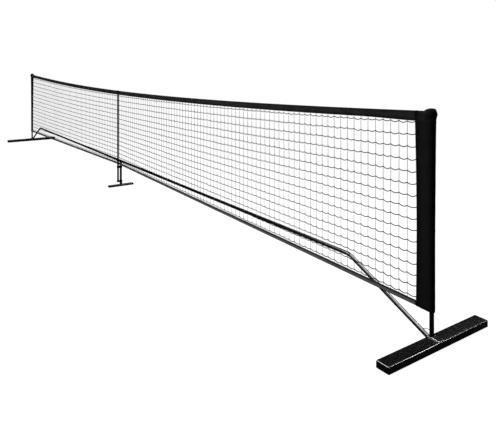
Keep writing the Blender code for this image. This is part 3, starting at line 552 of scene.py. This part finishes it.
def build_net():
    """Columns and rows of knotted twine, whose threads sag from knot to knot."""
    chance = random.Random(384)
    height = TOP_AT_END - BAND_HEIGHT - HEM_AT_END - HEM_HEIGHT
    drops = [FIRST_ROW + ROW_PITCH * row - ROW_CLOSING * row * row for row in range(NET_ROWS)]
    shares = [drop / height for drop in drops]
    pitch = 2 * NET_END / NET_COLUMNS
    places = [-NET_END + pitch * k for k in range(1, NET_COLUMNS)]
    places = [x + chance.uniform(-1, 1) * COLUMN_SLIP for x in places]

    def row_height(x, share):
        top, bottom = top_edge(x) - BAND_HEIGHT, hem_edge(x) + HEM_HEIGHT
        wave = 0.0022 * ripple(x * 1.7, share * 4.0, 2.0)
        return top - (top - bottom) * share + wave

    def drift(x, z):
        """Sideways wander of the twine, and how far it stands out of the net's plane."""
        return 0.0020 * ripple(x * 2.0, z * 9.0, 5.0), 0.0005 * ripple(x * 5.0, z * 7.0, 8.0)

    columns, rows, knots = [], [], []
    for x in places:
        spots = []
        for share in shares:
            z = row_height(x, share) + chance.uniform(-1, 1) * TWINE_SLIP
            dx, dy = drift(x, z)
            spots.append(Vector((x + dx, NET_Y + dy, z)))
        knots.append(spots)
        line = [(x, NET_Y, top_edge(x) - BAND_HEIGHT + 0.008)]
        for i, spot in enumerate(spots):
            line.append(tuple(spot))
            if i < len(spots) - 1:
                mid = (spot + spots[i + 1]) / 2
                line.append((mid.x + chance.uniform(-1, 1) * TWINE_SLIP, mid.y, mid.z))
        line.append((x, NET_Y, hem_edge(x) + HEM_HEIGHT - 0.006))
        columns.append(line)
    for row, share in enumerate(shares):
        ends = []
        for side in (-1, 1):
            x = side * (NET_END + 0.004)
            ends.append(Vector((x, NET_Y, row_height(side * NET_END, share) + 0.002)))
        spots = [ends[0], *(column[row] for column in knots), ends[1]]
        line = [tuple(spots[0])]
        for a, b in zip(spots, spots[1:]):
            droop = DROOP * chance.uniform(0.75, 1.2)
            for t in (0.22, 0.5, 0.78):
                point = a.lerp(b, t)
                line.append((point.x, point.y, point.z - 4 * droop * t * (1 - t)))
            line.append((*b, True) if b is not spots[-1] else tuple(b))
        rows.append(line)
    parts = []
    for name, some, twine, material in (
        ("columns", columns, COLUMN_TWINE, COLUMN_CORD),
        ("net_twine_lattice", rows, ROW_TWINE, ROW_CORD),
    ):
        values = {"Radius": twine / 2, "Sides": TWINE_SIDES, "Knot": KNOT_RADIUS}
        parts.append(THREADS.run(polylines(name, some), {**values, "Material": material}))
    work = bmesh.new()
    for index, part in enumerate(parts):
        start = len(work.faces)
        work.from_mesh(part)
        work.faces.ensure_lookup_table()
        for face in work.faces[start:]:
            face.material_index = index
    for part in parts:
        bpy.data.meshes.remove(part)
    mesh = to_mesh("net_twine_lattice", work)
    for material in (COLUMN_CORD, ROW_CORD):
        mesh.materials.append(material)
    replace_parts(frame_piece(mesh), "net_mesh")


# Band and hem


def there_and_back(front, fold):
    """Outline up the front of a folded cloth, round its fold and down its back."""
    return [(-y, z) for y, z in front + fold] + front[::-1]


def band_section(x):
    """Outline of the folded top band at x, from its front edge over the cord to its back."""
    top, sway = top_edge(x), 0.0007 * ripple(x * 5, 1, 0)
    low = top - BAND_HEIGHT + 0.0007 * ripple(x * 9, 4, 0)
    low -= 0.006 * smoothstep((abs(x) - NET_END + 0.30) / 0.30)
    belly = BAND_HALF + 0.0005 * ripple(x * 13, 7, 0)
    dent = 0.0007 * ripple(x * 31, 2, 0)
    front = [
        (SEAM_HALF, low),
        (SEAM_HALF - 0.0005 + dent / 3, low + 0.005),
        (SEAM_HALF + 0.0003 + dent, low + 0.011),
        (belly + dent / 2, low + 0.020),
        (belly, top - 0.007),
    ]
    turns = (0.0, 0.5, 1.0, math.pi / 2, math.pi - 1.0, math.pi - 0.5, math.pi)
    crown = [
        (BAND_HALF * math.cos(t), top - BAND_HALF + BAND_HALF * math.sin(t)) for t in turns
    ]
    inset = FABRIC / 2
    return [
        Vector((x, NET_Y + sway + y * (1 - inset / BAND_HALF), z - inset * (z > top - 0.004)))
        for y, z in there_and_back(front, crown)
    ]


def hem_section(x):
    """Outline of the hem at x, from its front edge under the cord to its back."""
    low = hem_edge(x)
    high = low + HEM_HEIGHT + 0.0006 * ripple(x * 9, 14, 0) + 0.003 * abs(x) / NET_END
    sway = 0.0008 * ripple(x * 4, 11, 0)
    dent = 0.0006 * ripple(x * 27, 12, 0)
    front = [
        (SEAM_HALF, high),
        (SEAM_HALF - 0.0006 + dent / 3, high - 0.004),
        (SEAM_HALF + 0.0002 + dent, high - 0.007),
        (HEM_HALF, low + HEM_HALF + 0.002),
    ]
    turns = (0.0, 0.45, 0.9, math.pi / 2, math.pi - 0.9, math.pi - 0.45, math.pi)
    foot = [(HEM_HALF * math.cos(t), low + HEM_HALF - HEM_HALF * math.sin(t)) for t in turns]
    inset = FABRIC / 2
    return [
        Vector((x, NET_Y + sway + y * (1 - inset / HEM_HALF), z + inset * (z < low + 0.003)))
        for y, z in there_and_back(front, foot)
    ]


def stations(step):
    count = round(2 * NET_END / step)
    return [-NET_END + 2 * NET_END * i / count for i in range(count + 1)]


def edge_seams(section, rise):
    """Lines on the front and the back of a folded cloth, above its edges by rise."""
    lines = []
    for side, out in ((0, -STITCH_STAND), (-1, STITCH_STAND)):
        edges = [section(x)[side] for x in stations(SEAM_STATION)]
        lines.append([(edge.x, edge.y + out, edge.z + rise) for edge in edges])
    return lines


def build_band():
    grid = [band_section(x) for x in stations(BAND_STATION)]
    band = frame_piece(cloth("top_band_cloth", grid, BAND_CLOTH))
    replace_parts(band, "top_band")
    seam = stitched("top_band_stitches", edge_seams(band_section, BAND_SEAM_RISE))


def build_hem():
    grid = [hem_section(x) for x in stations(HEM_STATION)]
    hem = frame_piece(cloth("bottom_hem_cloth", grid, HEM_CLOTH))
    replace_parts(hem, "bottom_hem")
    seam = stitched("bottom_hem_stitches", edge_seams(hem_section, HEM_SEAM_RISE))


# Sleeves and hoods round the posts, built at the right end about the post's axis


def wrap_outline(width, radius, half, count):
    """Plan of cloth round the post: from the seam along the front, round and back."""
    front = Vector((-width, NET_Y - half))
    back = Vector((-width, NET_Y + half))
    start = math.atan2(front.y, front.x) + math.acos(radius / front.length)
    end = math.atan2(back.y, back.x) - math.acos(radius / back.length) + 2 * math.pi
    if end - start > 2 * math.pi:
        end -= 2 * math.pi
    arc = []
    for i in range(BEND_POINTS):
        t = start + (end - start) * i / (BEND_POINTS - 1)
        arc.append(Vector((radius * math.cos(t), radius * math.sin(t))))
    run = (count - BEND_POINTS) // 2
    made = [front.lerp(arc[0], i / run) for i in range(run)] + arc
    made += [arc[-1].lerp(back, (i + 1) / run) for i in range(run)]
    return made


def sleeve_relief(p, k, t, z, width, high):
    """How far the sleeve stands out at p: soft folds, gathers and a pleat under the hood."""
    relief = 0.0016 * ripple(p.x * 60 + 3, 3 if p.y < -0.005 else 9, z * 2.2)
    relief += 0.0008 * ripple(p.x * 150, 5, z * 7)
    relief += 0.0022 * ripple(p.x * 95, 6, 1.5) * smoothstep((t - 0.72) / 0.28)
    pleat = (p.x + width) * 0.55 - (z - high + 0.014)
    pleat = 0.0020 * math.exp(-((pleat / 0.0035) ** 2))
    relief += pleat * smoothstep((-0.030 - p.x) / 0.012)
    return relief + 0.0006 * ripple(p.x * 30, k * 0.2, z * 26) + 0.0008


def build_sleeves():
    high = HOOD_BOTTOM + SLEEVE_LAP
    grid = []
    for i in range(SLEEVE_ROWS):
        t = i / (SLEEVE_ROWS - 1)
        width = SLEEVE_WIDTH - 0.0045 * math.sin(math.pi * t) + 0.005 * t * t
        radius = TUBE_RADIUS + 0.0026 + 0.0050 * t**2.2
        outline = wrap_outline(width, radius, SEAM_HALF - 0.0006, SLEEVE_POINTS)
        line = []
        for k, p in enumerate(outline):
            low = SLEEVE_BOTTOM - 0.004 * (1 + p.x / width)
            z = low + (high - low) * t
            ease = smoothstep((p.x + width) / 0.014)
            back = k > SLEEVE_POINTS // 2
            out = p.normalized() if p.x > 0 else Vector((0, 1 if back else -1))
            shift = out * sleeve_relief(p, k, t, z, width, high) * ease
            line.append(Vector((POST_X + p.x + shift.x, p.y + shift.y, z)))
        grid.append(line)
    right = cloth("sleeve_cloth_right", grid, SLEEVE_CLOTH)
    for side, sign, mesh in both_ends(right):
        sleeve = frame_piece(mesh)
        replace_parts(sleeve, "sleeve_" + side)
        lines = []
        for at, beside, out in ((0, 1, -POST_STITCH_STAND), (-1, -2, POST_STITCH_STAND)):
            line = []
            for row in grid:
                edge, inner = row[at], row[beside]
                x = edge.x + SLEEVE_SEAM
                share = (x - edge.x) / (inner.x - edge.x)
                y = edge.y + (inner.y - edge.y) * min(1, share)
                line.append((sign * x, y + out, edge.z))
            lines.append(line)
        seam = stitched("sleeve_stitches_" + side, lines)


def build_hoods():
    """The band's end goes round the post and closes over it in a flat, gathered peak."""
    outline = wrap_outline(HOOD_WIDTH, TUBE_RADIUS + 0.0075, BAND_HALF - 0.0004, HOOD_POINTS)
    grid = []
    for g in HOOD_LEVELS:
        inward = (1 - max(0.0, (g - HOOD_SHOULDER) / (1 - HOOD_SHOULDER)) ** 3) ** (1 / 3)
        belly = 1 + 0.36 * math.sin(math.pi * min(1, g * 1.05)) ** 1.4
        line = []
        for k, p in enumerate(outline):
            spine = Vector((min(p.x, 0.004), NET_Y * min(1, max(0, -p.x / HOOD_WIDTH))))
            rise = smoothstep((p.x + 0.037) / 0.033)
            high = TOP_AT_END + (HOOD_TOP - TOP_AT_END) * rise
            high += 0.0010 * ripple(p.x * 90, 3, 1)
            swell = 1 + (belly - 1) * smoothstep((p.x + 0.05) / 0.05)
            out = (p - spine) * swell
            gather = 0.0018 * ripple(k * 0.42, 2, g * 3.5) * smoothstep((p.x + 0.055) / 0.03)
            out += out.normalized() * gather
            spot = spine + out * inward
            z = HOOD_BOTTOM + (high - HOOD_BOTTOM) * g
            z += 0.0009 * ripple(k * 0.3, 6, 0) * (1 - g)
            line.append(Vector((POST_X + spot.x, spot.y, z)))
        grid.append(line)
    right = cloth("hood_cloth_right", grid, HOOD_CLOTH)
    for side, sign, mesh in both_ends(right):
        hood = frame_piece(mesh)
        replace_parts(hood, "corner_hood_" + side)
        line = []
        for here in grid[1]:
            out = Vector((max(0.0, here.x - POST_X), here.y)).normalized() * POST_STITCH_STAND
            line.append((sign * (here.x + out.x), here.y + out.y, here.z + 0.002))
        seam = stitched("hood_stitches_" + side, [line], GREY_THREAD)


def build_loop():
    """Strap on the band that the centre rod runs through."""
    low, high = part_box("centre_loop")
    rod = middle("centre_rod")
    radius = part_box("rod_tip")[1].x + 0.0014
    back = NET_Y - BAND_HALF - 0.0006
    reach = (high.x - low.x) / 2 - 0.001
    flap = [(-reach, back), (-reach + 0.005, back), (-radius - 0.002, back - 0.0006)]
    turns = [math.pi + math.pi * i / (LOOP_POINTS - 1) for i in range(LOOP_POINTS)]
    plan = flap + [(radius * math.cos(t), rod.y + radius * math.sin(t)) for t in turns]
    plan += [(-x, y) for x, y in reversed(flap)]
    grid = []
    for i in range(LOOP_ROWS):
        t = i / (LOOP_ROWS - 1)
        z = low.z + LOOP_INSET + (high.z - low.z - 2 * LOOP_INSET) * t
        pinch = 1 + 0.02 * math.sin(math.pi * t)
        grid.append([Vector((x * pinch, y, z)) for x, y in plan])
    loop = frame_piece(cloth("centre_loop_cloth", grid, HOOD_CLOTH))
    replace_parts(loop, "centre_loop")
    lines = []
    for side in (-1, 1):
        x, y = side * (reach - 0.003), back - POST_STITCH_STAND
        lines.append([(x, y, low.z + 0.002), (x, y, high.z - 0.002)])
    seam = stitched("centre_loop_stitches", lines)


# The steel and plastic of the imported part


def build_brackets():
    """Plate on the foot with the short spigot the post stands on; its edges are worn bare."""
    low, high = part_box("post_bracket_right")
    work = bmesh.new()
    size = high - low
    size.z = PLATE_THICKNESS
    centre = low + size / 2
    bmesh.ops.create_cube(work, size=1)
    for vert in work.verts:
        vert.co = centre + Vector(c * s for c, s in zip(vert.co, size))
    values = {"affect": "EDGES", "profile": 0.5}
    upright = [e for e in work.edges if abs(e.verts[0].co.z - e.verts[1].co.z) > 1e-4]
    bmesh.ops.bevel(work, geom=upright, offset=PLATE_CORNER, segments=4, **values)
    rims = [e for e in work.edges if e.calc_face_angle(0) > 1.2]
    bmesh.ops.bevel(work, geom=rims, offset=PLATE_EDGE, segments=2, material=1, **values)
    plate_top = low.z + PLATE_THICKNESS
    values = {"radius1": SPIGOT_ROOT, "radius2": SPIGOT_TIP, "depth": high.z - plate_top}
    values["matrix"] = Matrix.Translation((POST_X, 0, (plate_top + high.z) / 2))
    bmesh.ops.create_cone(work, cap_ends=True, segments=32, **values)
    for face in work.faces:
        face.smooth = face.calc_area() < 1e-4
    right = to_mesh("bracket_plate_right", work)
    right.materials.append(PLATE_ENAMEL)
    right.materials.append(ZINC)
    for side, _, mesh in both_ends(right):
        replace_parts(frame_piece(mesh), "post_bracket_" + side)


def soften(node):
    """Rounded shading on a faceted node; its vertices stay where they are.

    A corner takes the mean normal of the planes that meet there less steeply than at a
    sharp edge, each by its whole area. A corner inside a plane, as on a hole's rim, takes
    what lies between the plane's outer edges.
    """
    mesh = node.data
    least = math.cos(SHARP_EDGE)
    spots = [tuple(round(c * 2e5) for c in vertex.co) for vertex in mesh.vertices]
    normals, areas, meeting, sides, plane_of = {}, {}, {}, {}, []
    for face in mesh.polygons:
        key = tuple(round(c * 100) for c in face.normal)
        key += (round(face.center.dot(face.normal) * 1e4),)
        plane_of.append(key)
        normals.setdefault(key, face.normal.copy())
        areas[key] = areas.get(key, 0.0) + face.area
        ring = [spots[vertex] for vertex in face.vertices]
        for spot, after in zip(ring, ring[1:] + ring[:1]):
            meeting.setdefault(spot, set()).add(key)
            sides.setdefault(frozenset((spot, after)), set()).add(key)

    def near(own, keys):
        return sorted(key for key in keys if normals[key].dot(normals[own]) > least)

    def mean(own, keys):
        return sum((normals[k] * areas[k] for k in near(own, keys)), Vector()).normalized()

    borders = {}
    for side, keys in sides.items():
        for own in keys:
            if len(side) == 2 and set(near(own, keys)) - {own}:
                a, b = sorted(side)
                border = (Vector(a), Vector(b), mean(own, keys))
                borders.setdefault(own, ([], set()))[0].append(border)
                borders[own][1].update(side)

    def between(own, spot):
        here, total = Vector(spot), Vector()
        for a, b, normal in borders[own][0]:
            along = b - a
            share = min(1, max(0, (here - a).dot(along) / along.length_squared))
            total += normal / max(1.0, (here - a - along * share).length)
        return total.normalized()

    made, custom = {}, []
    for face, own in zip(mesh.polygons, plane_of):
        for vertex in face.vertices:
            spot = spots[vertex]
            if (own, spot) not in made:
                inside = own in borders and spot not in borders[own][1]
                made[own, spot] = between(own, spot) if inside else mean(own, meeting[spot])
            custom.append(made[own, spot])
    mesh.shade_smooth()
    mesh.normals_split_custom_set(custom)


def dress_frame():
    """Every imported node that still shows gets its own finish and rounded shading."""
    for name, node in frame["nodes"].items():
        if node.hide_render:
            continue
        if name.startswith(("button_", "foot_nut")):
            finish = ZINC
        elif name.startswith("foot_bolt"):
            finish = HEAD_PLASTIC
        elif "_cap" in name or name.startswith("rod_"):
            finish = CAP_PLASTIC
        elif name in ("top_cord", "hem_cord"):
            finish = BRAIDED_CORD
        elif name.startswith(("foot_", "centre_foot")):
            finish = FOOT_ENAMEL
        else:
            finish = TUBE_ENAMEL
        node.data.materials.clear()
        node.data.materials.append(finish)
        soften(node)


# Floor, light and camera


def softbox_glow(tree, ray, centre, side, reach, strength):
    """Light of a soft rectangular box that a reflection sees round the direction centre.

    side is the direction of its long side, and reach its half sizes along and across it.
    """
    centre = Vector(centre).normalized()
    along = (Vector(side) - centre * centre.dot(Vector(side))).normalized()
    glow = strength
    for axis, half in ((along, reach[0]), (centre.cross(along), reach[1])):
        values = {"Value": math_node(tree, "ABSOLUTE", dot(tree, ray, axis))}
        values.update({"From Min": half * 0.75, "From Max": half * 1.15, "To Min": 1, "To Max": 0})
        inside = add(tree, "MapRange", values, interpolation_type="SMOOTHSTEP").outputs[0]
        glow = math_node(tree, "MULTIPLY", glow, inside)
    ahead = math_node(tree, "GREATER_THAN", dot(tree, ray, centre), 0.0)
    return math_node(tree, "MULTIPLY", glow, ahead)


def build_floor():
    """A white floor that keeps the object's shadow and that reflections see dark."""
    made, tree, body = new_material("studio_floor")
    place = add(tree, "TexCoord").outputs["Object"]
    cloud = cloudy(tree, place, 1.3, 3)
    values = {"Base Color": ramp(tree, cloud, 0.50, 0.54), "Roughness": 0.9}
    feed(tree, body, {**values, "Specular IOR Level": 0.0})
    split = add(tree, "SeparateXYZ", {"Vector": place})
    past = math_node(tree, "SUBTRACT", math_node(tree, "ABSOLUTE", split.outputs["X"]), POST_X)
    past = math_node(tree, "MAXIMUM", past, 0.0)
    away = add(tree, "CombineXYZ", {"X": past, "Y": split.outputs["Y"]}).outputs[0]
    away = add(tree, "VectorMath", {0: away}, operation="LENGTH").outputs["Value"]
    values = {"Value": away, "From Min": 0.9, "From Max": 2.6}
    far = add(tree, "MapRange", values, interpolation_type="SMOOTHSTEP").outputs[0]
    glow = add(tree, "Emission", {"Strength": FLOOR_GLOW})
    near = add(tree, "AddShader", {0: body.outputs[0], 1: glow.outputs[0]})
    white = add(tree, "Emission", {"Strength": 1.0})
    seen = add(tree, "MixShader", {"Fac": far, 1: near.outputs[0], 2: white.outputs[0]})
    dark = add(tree, "BsdfDiffuse", {"Color": (0.10, 0.10, 0.10, 1)})
    camera = add(tree, "LightPath").outputs["Is Camera Ray"]
    both = add(tree, "MixShader", {"Fac": camera, 1: dark.outputs[0], 2: seen.outputs[0]})
    output = next(n for n in tree.nodes if n.bl_idname == "ShaderNodeOutputMaterial")
    tree.links.new(both.outputs[0], output.inputs["Surface"])
    mesh = bpy.data.meshes.new("studio_floor")
    corners = [(x * FLOOR_HALF, y * FLOOR_HALF, -FLOOR_DROP) for x, y in SQUARE]
    mesh.from_pydata(corners, [], [(0, 1, 2, 3)])
    mesh.materials.append(made)
    new_object("studio_floor", mesh)


def build_world():
    """White for the camera, dim for the lighting, and soft boxes for reflections only."""
    world = bpy.data.worlds.new("studio")
    bpy.context.scene.world = world
    world.use_nodes = True
    tree = world.node_tree
    tree.nodes.clear()
    path = add(tree, "LightPath").outputs
    ray = add(tree, "TexCoord").outputs["Generated"]
    shine = 0.03
    for box in REFLECTED_BOXES:
        shine = math_node(tree, "ADD", shine, softbox_glow(tree, ray, *box))
    dim, boxes, white = (
        add(tree, "Background", {"Color": WHITE, "Strength": strength}).outputs[0]
        for strength in (0.06, shine, 1.0)
    )
    lit = add(tree, "MixShader", {"Fac": path["Is Glossy Ray"], 1: dim, 2: boxes}).outputs[0]
    seen = add(tree, "MixShader", {"Fac": path["Is Camera Ray"], 1: lit, 2: white}).outputs[0]
    add(tree, "OutputWorld", {"Surface": seen})


def softbox(name, spot, target, size, power):
    light = bpy.data.lights.new(name, "AREA")
    light.shape = "RECTANGLE"
    light.size, light.size_y = size
    light.energy = power
    made = new_object(name, light)
    made.location = spot
    made.rotation_euler = (Vector(target) - Vector(spot)).to_track_quat("-Z", "Y").to_euler()


def set_camera():
    """Level camera of the photo, with its picture shifted instead of tilted."""
    width, height = PHOTO_SIZE
    data = bpy.data.cameras.new("photo_camera")
    data.sensor_fit = "HORIZONTAL"
    data.sensor_width = SENSOR_WIDTH
    data.lens = FOCAL * SENSOR_WIDTH / width
    data.shift_x = -(VANISHING_CENTRE - width / 2) / width
    data.shift_y = (HORIZON - height / 2) / width
    data.clip_start, data.clip_end = 0.05, 200
    made = new_object("photo_camera", data)
    made.location = CAMERA_SPOT
    made.rotation_euler = (math.pi / 2, 0, math.radians(CAMERA_TURN))
    bpy.context.scene.camera = made


build_net()
build_band()
build_hem()
build_sleeves()
build_hoods()
build_loop()
build_brackets()
dress_frame()
build_floor()
build_world()
softbox("overhead", (0.5, 0.3, 4.2), (0.5, 0, 0), (9, 3.0), 42)
softbox("key", (1.2, -4.2, 3.4), (2.4, 0, 0.4), (3.5, 2.4), 50)
softbox("rim", (2.9, 3.4, 3.4), (2.9, 0, 0.3), (3.6, 1.6), 22)
set_camera()
bpy.context.scene.view_settings.view_transform = "Standard"
